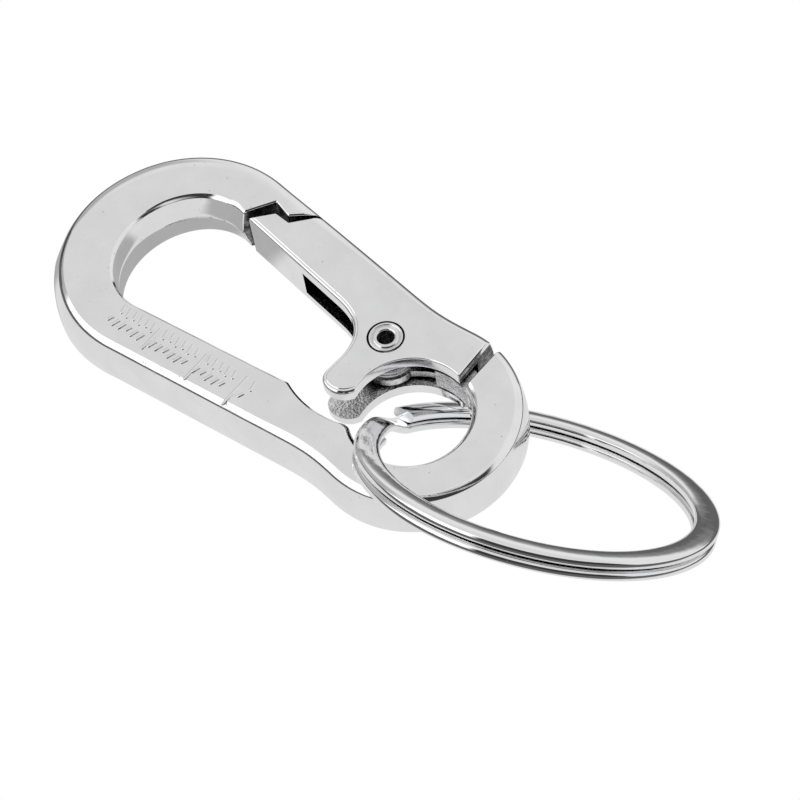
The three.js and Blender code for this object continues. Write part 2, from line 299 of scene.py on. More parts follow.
def gate_outline():
    tail_in, tail_out = tail_line(GATE_TAIL_ANGLE, GATE_TAIL_RUN)
    nose_out = on_gate_line(GATE_NOSE[2], GATE_NOSE[3])
    nub = on_circle(0, 0, HOLE, NUB_ANGLE)
    return chain(
        ("outer", arc(0, EYE_SHIFT, EYE_OUTER, eye_angle(tail_out), BLEND_ANGLE, 6)),
        ("outer", waist_gate()),
        ("outer", straight(GATE_END, nose_out, 20)),
        ("cut", straight(nose_out, GATE_NOSE[2], 3)),
        ("cut", straight(GATE_NOSE[2], GATE_NOSE[1], 3)),
        ("cut", straight(GATE_NOSE[1], GATE_NOSE[0], 3)),
        ("gate", straight(GATE_NOSE[0], GATE_BELLY, 20)),
        ("gate", cubic(GATE_BELLY, (-9.7, 4.3), (-8.2, 3.0), NUB_BACK[0], 28)),
        ("gate", straight(NUB_BACK[0], NUB_BACK[1], 3)),
        ("gate", cubic(NUB_BACK[1], (-8.2, -2.9), (-5.6, -3.0), nub, 24)),
        ("lip", arc(0, 0, HOLE, NUB_ANGLE, GATE_TAIL_ANGLE, 60)),
        ("cut", straight(tail_in, tail_out, 3)),
    )


# ---------------------------------------------------------------- swept side walls

# How far each kind of wall stands out from the plan outline, as (depth under the upper face, offset).
# The outer kinds share their lower half.
LOWER = [
    (3.2, 0.98), (3.8, 0.96), (4.3, 0.89), (4.6, 0.79), (4.75, 0.67), (4.95, 0.4), (5.15, 0.1), (5.2, 0.0),
]
WALLS = {
    "outer": [
        (0, -0.02), (0.015, 0.0), (0.12, 0.15), (0.3, 0.36), (0.45, 0.5), (0.55, 0.575), (0.62, 0.61),
        (0.75, 0.65), (1.1, 0.74), (1.6, 0.84), (2.1, 0.91), (2.6, 0.96),
    ] + LOWER,
    "rolled": [
        (0, -1.0), (0.012, -0.85), (0.05, -0.55), (0.12, -0.25), (0.22, 0.02), (0.36, 0.24), (0.55, 0.44),
        (0.8, 0.59), (1.1, 0.71), (1.6, 0.83), (2.1, 0.9), (2.6, 0.95),
    ] + LOWER,
    "inner": [
        (0, -0.22), (0.015, -0.2), (0.22, 0.0), (0.3, 0.02), (2.3, 0.04), (2.5, 0.07), (2.6, 0.1),
        (2.7, 0.07), (2.9, 0.04), (4.9, 0.0), (5.0, -0.02), (5.2, -0.22),
    ],
    "swollen": [
        (0, -0.22), (0.015, -0.2), (0.22, 0.0), (0.3, 0.05), (1.0, 0.2), (1.8, 0.33), (2.35, 0.41),
        (2.5, 0.47), (2.6, 0.52), (2.7, 0.46), (2.9, 0.38), (3.6, 0.28), (4.5, 0.1), (4.9, 0.0),
        (5.2, -0.22),
    ],
    "hole": [
        (0, -0.48), (0.015, -0.46), (0.1, -0.36), (0.3, -0.16), (0.45, -0.04), (0.55, 0.0), (2.5, 0.03),
        (2.6, 0.05), (2.7, 0.03), (4.7, 0.0), (4.85, -0.1), (5.2, -0.45),
    ],
    "gate": [
        (0, -0.4), (0.015, -0.38), (0.05, -0.34), (0.075, -0.2), (0.1, -0.16), (0.22, -0.05), (0.3, -0.01),
        (0.45, 0.0), (4.8, 0.0), (5.2, -0.3),
    ],
    "lip": [(0, -0.1), (0.03, -0.04), (0.1, 0.0), (5.1, 0.0), (5.2, -0.1)],
    "cut": [(0, -0.13), (0.015, -0.12), (0.06, -0.06), (0.12, -0.02), (0.2, 0.0), (5.0, 0.0), (5.2, -0.13)],
}
DEPTHS = [
    0, 0.015, 0.05, 0.08, 0.12, 0.17, 0.22, 0.3, 0.36, 0.45, 0.55, 0.62, 0.7, 0.8, 0.95, 1.1, 1.35, 1.6,
    1.85, 2.1, 2.35, 2.5, 2.6, 2.7, 2.9, 3.2, 3.5, 3.8, 4.05, 4.3, 4.5, 4.6, 4.68, 4.75, 4.85, 4.95,
    5.05, 5.15, 5.2,
]
# Where the walls differ from these, as (place, share or offset). Angles are in degrees round the loop.
ROLL_BY_ANGLE = [(0, 0), (36, 0.1), (60, 0.5), (80, 1), (160, 1), (205, 0), (360, 0)]
BULGE_BY_ANGLE = [(0, 0), (195, 0), (218, 1), (252, 1), (280, 0), (360, 0)]
BULGE_BY_DEPTH = [(0, 0), (0.6, 0), (1.4, 0.3), (4.4, 0.3), (5.2, 0)]
EYE_SOFT_BY_X = [(-9, 0), (-3, 1)]
EYE_SOFT_BY_Y = [(-1, 1), (2, 0)]
EYE_SOFT_BY_DEPTH = [(0, -0.2), (0.015, -0.15), (0.05, -0.08), (0.12, -0.03), (0.3, 0)]
LOOP_FROM_X = -20
SWELL_BY_ANGLE = [(0, 1), (145, 1), (190, 0.1), (360, 0)]
SOFT_BY_ANGLE = [(0, 0), (84, 0), (104, 1), (150, 1), (185, 0), (360, 0)]
SOFT_BY_DEPTH = [(0, -0.7), (0.015, -0.46), (0.05, -0.22), (0.08, -0.12), (0.22, -0.12), (0.36, 0)]
CORNER = 0.1
CORNER_STEPS = 4
SMOOTH_COSINE = 0.9
STRAIGHT_SINE = 0.05


def look_up(value, table):
    return float(np.interp(value, *zip(*table)))


def stand_out(kind, depth, point):
    """A wall's offset. The loop's far side is rolled over outside and swollen inside."""
    angle = math.degrees(math.atan2(point[1], point[0] - LOOP_X)) % 360
    base = look_up(depth, WALLS[kind])
    if kind == "outer":
        share = look_up(angle, ROLL_BY_ANGLE)
        bulge = look_up(angle, BULGE_BY_ANGLE) * look_up(depth, BULGE_BY_DEPTH)
        soft = look_up(point[0], EYE_SOFT_BY_X) * look_up(point[1], EYE_SOFT_BY_Y)
        soft *= look_up(depth, EYE_SOFT_BY_DEPTH)
        return base + bulge + soft + share * (look_up(depth, WALLS["rolled"]) - base)
    if kind == "inner" and point[0] < LOOP_FROM_X:
        share = look_up(angle, SWELL_BY_ANGLE)
        soft = look_up(angle, SOFT_BY_ANGLE) * look_up(depth, SOFT_BY_DEPTH)
        return base + soft + share * (look_up(depth, WALLS["swollen"]) - base)
    return base


def rounded_corner(corner, before, after):
    """A short curve in place of a hard corner."""
    start = corner - before * CORNER
    end = corner + after * CORNER
    points = []
    for k in range(CORNER_STEPS + 1):
        t = k / CORNER_STEPS
        points.append(start * (1 - t) ** 2 + corner * 2 * t * (1 - t) + end * t * t)
    return points


def level_points(outline, depth):
    """The outline at one depth, each edge moved out by its own wall's offset, hard corners rounded."""
    count = len(outline)
    points = [Vector(p) for p, _ in outline]
    kinds = [k for _, k in outline]
    ring = []
    for i in range(count):
        before = (points[i] - points[i - 1]).normalized()
        after = (points[(i + 1) % count] - points[i]).normalized()
        n1 = Vector((before.y, -before.x))
        n2 = Vector((after.y, -after.x))
        o1 = stand_out(kinds[i - 1], depth, points[i])
        o2 = stand_out(kinds[i], depth, points[i])
        cosine = n1.dot(n2)
        cross = n1.x * n2.y - n1.y * n2.x
        if cosine > SMOOTH_COSINE and kinds[i - 1] == kinds[i]:
            ring.append(points[i] + (n1 + n2).normalized() * o1 / math.sqrt((1 + cosine) / 2))
        elif abs(cross) < STRAIGHT_SINE:
            ring.append(points[i] + (n1 + n2).normalized() * (o1 + o2) / 2)
        else:
            shift = Vector(((o1 * n2.y - o2 * n1.y) / cross, (o2 * n1.x - o1 * n2.x) / cross))
            ring += rounded_corner(points[i] + shift, before, after)
    return ring


def walled_solid(name, outline):
    """A closed solid with flat faces whose side walls follow the outline."""
    vertices = []
    faces = []
    for depth in DEPTHS:
        ring = level_points(outline, depth)
        vertices += [(p.x, p.y, -depth) for p in ring]
    count = len(ring)
    for level in range(len(DEPTHS) - 1):
        for i in range(count):
            a = level * count + i
            b = level * count + (i + 1) % count
            faces.append((a, b, b + count, a + count))
    last = (len(DEPTHS) - 1) * count
    faces.append(tuple(range(count)))
    faces.append(tuple(last + i for i in reversed(range(count))))
    return mesh_object(name, vertices, faces)


def prism(name, points, low, high, material):
    """A plan outline carried straight up from one height to another."""
    count = len(points)
    vertices = [(x, y, low) for x, y in points] + [(x, y, high) for x, y in points]
    faces = [tuple(reversed(range(count))), tuple(range(count, 2 * count))]
    faces += [(i, (i + 1) % count, count + (i + 1) % count, count + i) for i in range(count)]
    thing = mesh_object(name, vertices, faces)
    thing.data.materials.append(material)
    return thing


def boolean(thing, cutter, operation):
    """Joins or cuts with another solid, which is then gone. New faces keep the cutter's material."""
    modifier = thing.modifiers.new("cut", "BOOLEAN")
    modifier.material_mode = "TRANSFER"
    modifier.operation = operation
    modifier.solver = "EXACT"
    modifier.object = cutter
    depsgraph = bpy.context.evaluated_depsgraph_get()
    result = bpy.data.meshes.new_from_object(thing.evaluated_get(depsgraph))
    thing.modifiers.clear()
    thing.data = result
    bpy.data.objects.remove(cutter)


# ---------------------------------------------------------------- nodes

def node_math(tree, operation, a, b=0.0):
    """A Math node's output. Each of a and b is a number or another node's output."""
    node = tree.nodes.new("ShaderNodeMath")
    node.operation = operation
    for socket, value in zip(node.inputs, (a, b)):
        if isinstance(value, (int, float)):
            socket.default_value = value
        else:
            tree.links.new(value, socket)
    return node.outputs[0]


def node_range(tree, value, within, onto, curve="SMOOTHSTEP"):
    """A value's place within one range, carried onto another and held at its ends."""
    node = tree.nodes.new("ShaderNodeMapRange")
    node.interpolation_type = curve
    tree.links.new(value, node.inputs["Value"])
    for name, number in zip(("From Min", "From Max", "To Min", "To Max"), (*within, *onto)):
        node.inputs[name].default_value = number
    return node.outputs["Result"]


def node_radius(tree, x, y):
    squares = node_math(tree, "ADD", node_math(tree, "POWER", x, 2.0), node_math(tree, "POWER", y, 2.0))
    return node_math(tree, "SQRT", squares)


def split(tree, vector):
    node = tree.nodes.new("ShaderNodeSeparateXYZ")
    tree.links.new(vector, node.inputs[0])
    return node.outputs


# ---------------------------------------------------------------- materials

SCORES_TURN = 0.6


class Paint:
    """A metal's node tree, with short ways to add and join nodes. Lengths are in millimetres."""

    def __init__(self, name):
        self.material = bpy.data.materials.new(name)
        self.material.use_nodes = True
        self.tree = self.material.node_tree
        self.shader = self.tree.nodes["Principled BSDF"]
        self.shader.inputs["Metallic"].default_value = 1.0
        self.normal = None

    def node(self, kind):
        return self.tree.nodes.new("ShaderNode" + kind)

    def link(self, start, end):
        self.tree.links.new(start, end)

    def place(self, own_frame=Matrix.Identity(4)):
        """Object coordinates in millimetres, in the row frame or a piece's own frame."""
        mapping = self.node("Mapping")
        into = own_frame.inverted()
        mapping.inputs["Location"].default_value = into.to_translation() / MM
        mapping.inputs["Rotation"].default_value = into.to_euler("XYZ")
        mapping.inputs["Scale"].default_value = (1 / MM, 1 / MM, 1 / MM)
        self.link(self.node("TexCoord").outputs["Object"], mapping.inputs["Vector"])
        return mapping.outputs["Vector"]

    def noise(self, where, scale, detail=3.0, rough=0.55):
        node = self.node("TexNoise")
        node.inputs["Scale"].default_value = scale
        node.inputs["Detail"].default_value = detail
        node.inputs["Roughness"].default_value = rough
        self.link(where, node.inputs["Vector"])
        return node.outputs["Fac"]

    def spread(self, value, within, onto, curve="LINEAR"):
        return node_range(self.tree, value, within, onto, curve)

    def bump(self, height, depth):
        node = self.node("Bump")
        node.inputs["Distance"].default_value = depth * MM
        node.inputs["Strength"].default_value = 1.0
        self.link(height, node.inputs["Height"])
        if self.normal is not None:
            self.link(self.normal, node.inputs["Normal"])
        self.normal = node.outputs["Normal"]

    def tones(self, share, dark, light):
        """A colour that runs from dark to light with the share."""
        mix = self.node("Mix")
        mix.data_type = "RGBA"
        mix.inputs["A"].default_value = (*dark, 1)
        mix.inputs["B"].default_value = (*light, 1)
        self.link(share, mix.inputs["Factor"])
        return mix.outputs["Result"]

    def done(self, colour, roughness):
        """Each of colour and roughness is another node's output, or one value for the whole surface."""
        self.link(self.normal, self.shader.inputs["Normal"])
        if isinstance(colour, tuple):
            self.shader.inputs["Base Color"].default_value = (*colour, 1)
        else:
            self.link(colour, self.shader.inputs["Base Color"])
        if isinstance(roughness, float):
            self.shader.inputs["Roughness"].default_value = roughness
        else:
            self.link(roughness, self.shader.inputs["Roughness"])
        return self.material


def plated_casting():
    """Bright plating over a polished casting: soft waves, faint haze, small pits."""
    paint = Paint("plated_casting")
    where = paint.place()
    paint.bump(paint.noise(where, scale=0.16, detail=2.0), depth=0.05)
    paint.bump(paint.noise(where, scale=1.6), depth=0.0016)
    spots = paint.noise(where, scale=2.3, detail=2.0, rough=0.75)
    pits = paint.spread(spots, (0.70, 0.78), (1.0, 0.0), "SMOOTHSTEP")
    paint.bump(pits, depth=0.02)
    haze = paint.spread(paint.noise(where, scale=0.5, detail=5.0, rough=0.65), (0.35, 0.72), (0.045, 0.13))
    clouds = paint.spread(paint.noise(where, scale=0.35, detail=4.0), (0.3, 0.7), (0.86, 1.0))
    share = node_math(paint.tree, "MULTIPLY", pits, clouds)
    return paint.done(paint.tones(share, (0.45, 0.45, 0.46), (0.925, 0.925, 0.93)), haze)


def skin_with_painted_shade():
    """The grainy skin inside the slot: plated near its mouth, and made dark deep inside by painted shade of
    the recess.
    """
    paint = Paint("skin_with_painted_shade")
    tree = paint.tree
    where = paint.place(HOOK)
    grains = paint.node("TexVoronoi")
    grains.inputs["Scale"].default_value = 4.5
    paint.link(where, grains.inputs["Vector"])
    paint.bump(grains.outputs["Distance"], depth=0.06)
    paint.bump(paint.noise(where, scale=9.0, detail=4.0, rough=0.7), depth=0.02)
    x, y, _ = split(tree, where)
    # Painted shade: the colour runs from bright at the slot's mouth to near-black deep inside it.
    near_nub = paint.spread(y, (0.4, 1.5), (1.0, 0.0), "SMOOTHSTEP")
    near_hole = paint.spread(node_radius(tree, x, y), (5.25, 5.9), (1.0, 0.0), "SMOOTHSTEP")
    mouth = node_math(tree, "MAXIMUM", near_nub, near_hole)
    patches = paint.spread(paint.noise(where, scale=1.4, detail=4.0), (0.3, 0.7), (0.55, 1.0))
    haze = paint.spread(paint.noise(where, scale=3.0), (0.3, 0.7), (0.16, 0.42))
    share = node_math(tree, "MULTIPLY", mouth, patches)
    return paint.done(paint.tones(share, (0.035, 0.035, 0.037), (0.93, 0.93, 0.935)), haze)


def gap_shade_face():
    """The narrow faces where frame and gate meet: near-black with a random spread of tone, painted shade of
    the narrow gap between them.
    """
    paint = Paint("gap_shade_face")
    where = paint.place()
    paint.bump(paint.noise(where, scale=5.0, detail=4.0, rough=0.7), depth=0.02)
    share = paint.spread(paint.noise(where, scale=1.8, detail=4.0), (0.4, 0.65), (0.0, 1.0))
    return paint.done(paint.tones(share, (0.03, 0.03, 0.031), (0.3, 0.3, 0.31)), 0.22)


def worn_casting():
    """The frame's tongue: plated, but rubbed dull and scored by the gate and the spring."""
    paint = Paint("worn_casting")
    where = paint.place(HOOK @ Matrix.Rotation(SCORES_TURN, 4, "Z"))
    long_way = paint.node("Mapping")
    long_way.inputs["Scale"].default_value = (0.8, 9.0, 3.0)
    paint.link(where, long_way.inputs["Vector"])
    scores = paint.noise(long_way.outputs[0], scale=1.0, detail=4.0, rough=0.65)
    paint.bump(scores, depth=0.02)
    paint.bump(paint.noise(where, scale=4.0, detail=4.0, rough=0.7), depth=0.02)
    haze = paint.spread(paint.noise(where, scale=2.5), (0.3, 0.7), (0.12, 0.3))
    share = paint.spread(scores, (0.35, 0.6), (0.0, 1.0))
    return paint.done(paint.tones(share, (0.45, 0.45, 0.46), (0.88, 0.88, 0.885)), haze)


def rivet_metal():
    """Nickelled tube with turning marks round its axis."""
    paint = Paint("rivet_metal")
    where = paint.place(HOOK @ Matrix.Translation(Vector((*PIVOT, 0)) * MM))
    rings = paint.node("TexWave")
    rings.wave_type = "RINGS"
    rings.rings_direction = "Z"
    rings.inputs["Scale"].default_value = 2.6
    rings.inputs["Distortion"].default_value = 1.2
    paint.link(where, rings.inputs["Vector"])
    paint.bump(rings.outputs["Fac"], depth=0.003)
    paint.bump(paint.noise(where, scale=4.0, detail=4.0, rough=0.7), depth=0.008)
    haze = paint.spread(paint.noise(where, scale=3.0), (0.3, 0.7), (0.08, 0.28))
    return paint.done((0.82, 0.82, 0.83), haze)


def shaded_bore_metal():
    """The inside of the rivet: dull, and near-black with painted shade of the deep narrow bore."""
    paint = Paint("rivet_bore_painted_shade")
    where = paint.place()
    paint.bump(paint.noise(where, scale=5.0, detail=4.0, rough=0.7), depth=0.08)
    share = paint.spread(paint.noise(where, scale=3.5), (0.45, 0.75), (0.0, 1.0))
    return paint.done(paint.tones(share, (0.02, 0.02, 0.021), (0.5, 0.5, 0.51)), 0.45)


def spring_wire():
    """Drawn steel wire, a little dull."""
    paint = Paint("spring_wire")
    where = paint.place()
    paint.bump(paint.noise(where, scale=6.0), depth=0.01)
    haze = paint.spread(paint.noise(where, scale=4.0), (0.3, 0.7), (0.18, 0.38))
    return paint.done((0.62, 0.62, 0.63), haze)


def ring_steel():
    """Rolled and plated strip: fine streaks that run round the ring."""
    paint = Paint("ring_steel")
    tree = paint.tree
    where = paint.place(TO_ROW @ ring_place() @ Matrix.Scale(1 / MM, 4))
    x, y, z = split(tree, where)
    joined = paint.node("CombineXYZ")
    paint.link(node_math(tree, "MULTIPLY", node_radius(tree, x, y), 9.0), joined.inputs["X"])
    paint.link(node_math(tree, "MULTIPLY", node_math(tree, "ARCTAN2", y, x), 2.2), joined.inputs["Y"])
    paint.link(node_math(tree, "MULTIPLY", z, 9.0), joined.inputs["Z"])
    streaks = paint.noise(joined.outputs[0], scale=1.0, rough=0.6)
    paint.bump(streaks, depth=0.002)
    paint.bump(paint.noise(where, scale=0.45, detail=2.0), depth=0.02)
    nicks = paint.noise(where, scale=3.4, rough=0.75)
    paint.bump(paint.spread(nicks, (0.72, 0.8), (1.0, 0.0), "SMOOTHSTEP"), depth=0.02)
    haze = paint.spread(streaks, (0.3, 0.7), (0.03, 0.12))
    share = paint.spread(paint.noise(joined.outputs[0], scale=0.35), (0.3, 0.7), (0.2, 1.0))
    return paint.done(paint.tones(share, (0.84, 0.84, 0.85), (0.95, 0.95, 0.955)), haze)


CHROME = plated_casting()
SHADED_SKIN = skin_with_painted_shade()
GAP_SHADE = gap_shade_face()
TONGUE = worn_casting()
RIVET = rivet_metal()
SHADED_BORE = shaded_bore_metal()
WIRE = spring_wire()
STEEL = ring_steel()


# ---------------------------------------------------------------- pieces

LUG_PLAY = 0.3
LUG_SINK = math.radians(8)
LUG_END = math.radians(109)
LUG_OUTER = 7.0
NECK_INNER = HOLE + 0.7
NECK_LAP = 0.2
NECK_HEIGHT = 0.75
BOSS = 2.4
SLOT_END = -17.2
SLOT_SIDE = -4.0
SLOT_TAIL = 4.0
PAST = 1
HAIR = 0.001
# The faces along the gaps between frame and gate get a near-black colour, which is painted shade of the
# gaps, from these depths down.
GAP_SHADE_DEPTH = 0.2
TAIL_GAP_SHADE_DEPTH = 0.75
GAP_SHADE_FOOT = 0.3
GAP_SHADE_REACH = 0.09


def make_lug():
    """The tongue that reaches from the eye's end between the gate's plates and round the rivet."""
    low = -THICKNESS + PLATE + LUG_PLAY
    high = -PLATE - LUG_PLAY
    root = FRAME_TAIL_ANGLE - LUG_SINK
    pivot_angle = math.atan2(PIVOT[1], PIVOT[0])
    lap = LUG_END - NECK_LAP
    body = arc(0, 0, LUG_OUTER, root, LUG_END, 24) + arc(0, 0, HOLE, LUG_END, root, 24)
    neck = arc(0, 0, LUG_OUTER, lap, pivot_angle, 16) + arc(0, 0, NECK_INNER, pivot_angle, lap, 16)
    boss = circle(PIVOT, BOSS, 64)
    bore = circle(PIVOT, RIVET_HOLE, 64)
    lug = prism("frame_lug", body, low, high, TONGUE)
    boolean(lug, prism("neck", neck, low, low + NECK_HEIGHT, TONGUE), "UNION")
    boolean(lug, prism("boss", boss, low - HAIR, low + NECK_HEIGHT + HAIR, TONGUE), "UNION")
    boolean(lug, prism("bore", bore, low - PAST, high + PAST, TONGUE), "DIFFERENCE")
    return lug


def make_gate():
    """The gate's solid, slotted between its two plates for the tongue, the rivet and the spring."""
    web = EYE_SHIFT + EYE_OUTER - WEB
    slot = [(SLOT_END, SLOT_SIDE), (SLOT_END, 6.6)]
    slot += cubic((SLOT_END, 6.6), (SLOT_END, 7.7), (-16.6, 8.25), (-15.4, 8.15), 8)[1:]
    slot += cubic((-6.0, 7.15), (-4.3, 7.0), (-2.5, 7.1), (0, web), 10)
    slot += [(SLOT_TAIL, web), (SLOT_TAIL, SLOT_SIDE)]
    gate = walled_solid("gate_casting", gate_outline())
    gate.data.materials.append(CHROME)
    # The slot's faces take the skin that is darkened deep inside by painted shade.
    boolean(gate, prism("slot", slot, -THICKNESS + PLATE, -PLATE, SHADED_SKIN), "DIFFERENCE")
    bore = circle(PIVOT, RIVET_HOLE, 96)
    boolean(gate, prism("bore", bore, -THICKNESS - PAST, PAST, SHADED_SKIN), "DIFFERENCE")
    return gate


def paint_gap_shade(casting, top, *lines):
    """Gives the upright faces on these plan lines the near-black painted shade of the gap, from a depth
    downwards.
    """
    casting.data.materials.append(GAP_SHADE)
    last = len(casting.data.materials) - 1
    for face in casting.data.polygons:
        place = TO_HOOK @ face.center
        if not -THICKNESS + GAP_SHADE_FOOT < place.z < -top:
            continue
        for start, end in lines:
            along = Vector((end[0] - start[0], end[1] - start[1]))
            offset = Vector((place.x - start[0], place.y - start[1]))
            share = min(max(offset.dot(along) / along.length_squared, 0.03), 0.97)
            if (offset - along * share).length < GAP_SHADE_REACH:
                face.material_index = last


def lathe(name, profile, steps, centre):
    """A closed profile of (radius, height) turned about an upright axis."""
    count = len(profile)
    vertices = []
    faces = []
    for i in range(steps):
        angle = 2 * math.pi * i / steps
        vertices += [(*on_circle(*centre, radius, angle), height) for radius, height in profile]
        for j in range(count):
            a = i * count + j
            b = i * count + (j + 1) % count
            c = ((i + 1) % steps) * count + (j + 1) % count
            d = ((i + 1) % steps) * count + j
            faces.append((a, b, c, d))
    return mesh_object(name, vertices, faces)


RIVET_SHANK = 1.28
RIVET_BORE = 0.66
RIVET_HEAD = 0.35
RIVET_MOUTH = 0.45
BORE_EDGE = 0.03
# The rolled lip, outside to inside, as (radius, height over the upper face)
RIVET_LIP = [
    (1.46, -0.1), (1.46, 0.0), (1.42, 0.05), (1.35, 0.06), (1.28, 0.03), (1.24, -0.05), (1.19, -0.09),
    (1.14, -0.05), (1.1, 0.02), (1.03, 0.08), (0.94, 0.1), (0.84, 0.08), (0.76, 0.02), (0.7, -0.08),
]


def make_rivet():
    """A tubular rivet, its rim rolled outwards into a rounded lip at both ends."""
    upper = RIVET_LIP + [(RIVET_BORE, -RIVET_MOUTH), (RIVET_BORE, -THICKNESS / 2)]
    lower = [(radius, -THICKNESS - height) for radius, height in reversed(upper)]
    outer = [(RIVET_SHANK, -THICKNESS + RIVET_HEAD), (RIVET_SHANK, -RIVET_HEAD)]
    rivet = lathe("rivet_tube", upper + lower + outer, 96, PIVOT)
    rivet.data.materials.append(RIVET)
    rivet.data.materials.append(SHADED_BORE)
    # The bore's faces get the near-black colour of painted shade.
    for face in rivet.data.polygons:
        place = TO_HOOK @ face.center
        inside = math.hypot(place.x - PIVOT[0], place.y - PIVOT[1]) < RIVET_BORE + BORE_EDGE
        face.material_index = 1 if inside else 0
    return rivet


def sweep(name, path, section, local=Matrix.Identity(4)):
    """A section of (across, up) swept along points with given directions: (place, across, up)."""
    count = len(section)
    vertices = []
    faces = []
    for place, across, up in path:
        vertices += [place + across * x + up * y for x, y in section]
    for i in range(len(path) - 1):
        for j in range(count):
            a = i * count + j
            b = i * count + (j + 1) % count
            faces.append((a, b, b + count, a + count))
    faces.append(tuple(reversed(range(count))))
    faces.append(tuple((len(path) - 1) * count + j for j in range(count)))
    return mesh_object(name, vertices, faces, local)


SPRING_RADIUS = 2.3
SPRING_WIRE = 0.2
SPRING_PITCH = 0.42
SPRING_TOP = -1.7
SPRING_TURNS = 2
WEB_LEG = 6.0
WEB_LEG_STEPS = 12
LUG_LEG = 3.6
LUG_LEG_STEPS = 8


def spring_points():
    """The wire's middle: the leg along the web, the turns, and the leg along the tongue."""
    side = PIVOT[1] + SPRING_RADIUS
    points = []
    for i in range(WEB_LEG_STEPS):
        points.append(Vector((PIVOT[0] - WEB_LEG + WEB_LEG * i / WEB_LEG_STEPS, side, SPRING_TOP)))
    steps = 64 * SPRING_TURNS
    for i in range(steps + 1):
        turned = 2 * math.pi * SPRING_TURNS * i / steps
        x, y = on_circle(*PIVOT, SPRING_RADIUS, math.pi / 2 - turned)
        points.append(Vector((x, y, SPRING_TOP - SPRING_PITCH * turned / (2 * math.pi))))
    for i in range(1, LUG_LEG_STEPS + 1):
        z = SPRING_TOP - SPRING_PITCH * SPRING_TURNS
        points.append(Vector((PIVOT[0] + LUG_LEG * i / LUG_LEG_STEPS, side, z)))
    return points


def make_spring():
    points = spring_points()
    path = []
    for i, point in enumerate(points):
        ahead = points[min(i + 1, len(points) - 1)] - points[max(i - 1, 0)]
        across = ahead.cross(Vector((0, 0, 1))).normalized()
        path.append((point, across, across.cross(ahead).normalized()))
    return sweep("torsion_spring", path, circle((0, 0), SPRING_WIRE, 16))


def crowned_strip(width, height, steps=36):
    """The section of rolled strip: its faces swell a little and run smoothly into its edges."""
    power = 2 / 3.1
    points = []
    for i in range(steps):
        angle = 2 * math.pi * i / steps
        x = math.copysign(abs(math.cos(angle)) ** power, math.cos(angle))
        y = math.copysign(abs(math.sin(angle)) ** power, math.sin(angle))
        points.append((x * width / 2, y * height / 2))
    return points


STEP_HALF = math.radians(9)
STEP_PLACE = math.radians(186)
RING_FIRST_GAP = math.radians(2)
RING_LAST_LAP = math.radians(1.2)
RING_STEPS = 560


def make_split_ring():
    """Flat strip wound two turns, with one crimped step where it crosses from turn to turn."""
    middle = RING_OUTER - RING_WIDTH / 2
    rise = (COIL + COIL_GAP) / 2
    start = STEP_HALF + RING_FIRST_GAP
    end = 4 * math.pi - STEP_HALF + RING_LAST_LAP
    path = []
    for i in range(RING_STEPS + 1):
        angle = start + (end - start) * i / RING_STEPS
        t = min(max((angle - 2 * math.pi + STEP_HALF) / (2 * STEP_HALF), 0), 1)
        climb = t * t * (3 - 2 * t)
        turn = angle + STEP_PLACE
        outward = Vector((math.cos(turn), math.sin(turn), 0))
        place = outward * middle + Vector((0, 0, -rise + 2 * rise * climb))
        path.append((place, outward, Vector((0, 0, 1))))
    return sweep("split_ring_strip", path, crowned_strip(RING_WIDTH, COIL), ring_place())


# The dashes hang from a line through HATCH_TOP, nearly along the spine's inner edge.
HATCH_TOP = (-26.5, -7.0)
HATCH_SLOPE = 0.085
HATCH_HEIGHT = 0.13
HATCH_WIDTH = 0.3
HATCH_FOOT = -0.05
HATCH_FIRST = -26.2
HATCH_STEP = 0.68
HATCH_DASHES = 22
HATCH_CLEAR = 0.45
HATCH_LEAN = 0.1
HATCH_BARS = [
    ((-17.05, -6.2), (-16.85, -9.45)),
    ((-22.05, -6.85), (-21.9, -9.45)),
    ((-12.76, -5.75), (-12.56, -9.3)),
]
RIDGE_SIDES = 8
RIDGE_END = 5


def ridge_stations(length):
    """(Distance along a ridge, share of its full width), from one rounded end to the other."""
    stations = []
    for i in range(RIDGE_END):
        reach = HATCH_WIDTH / 2 * (1 - math.cos(math.pi * i / 8))
        stations.append((reach, max(math.sin(math.pi * i / 8), 0.15)))
    return stations + [(length - reach, share) for reach, share in reversed(stations)]


def ridge(vertices, faces, start, end):
    """One low, round-topped ridge with rounded ends, its foot sunk a little into the face."""
    along = Vector((end[0] - start[0], end[1] - start[1], 0))
    stations = ridge_stations(along.length)
    along.normalize()
    across = Vector((-along.y, along.x, 0))
    foot = Vector((0, 0, HATCH_FOOT))
    first = len(vertices)
    for reach, share in stations:
        middle = Vector((start[0], start[1], 0)) + along * reach
        side = across * HATCH_WIDTH / 2 * share
        vertices.append(middle - side + foot)
        for k in range(RIDGE_SIDES - 1):
            angle = math.pi * (1 - k / (RIDGE_SIDES - 2))
            lift = Vector((0, 0, HATCH_HEIGHT * share * math.sin(angle)))
            vertices.append(middle + side * math.cos(angle) + lift)
        vertices.append(middle + side + foot)
    count = RIDGE_SIDES + 1
    for i in range(len(stations) - 1):
        for k in range(count):
            a = first + i * count + k
            b = first + i * count + (k + 1) % count
            faces.append((a, b, b + count, a + count))
    faces.append(tuple(reversed(range(first, first + count))))
    last = first + (len(stations) - 1) * count
    faces.append(tuple(range(last, last + count)))


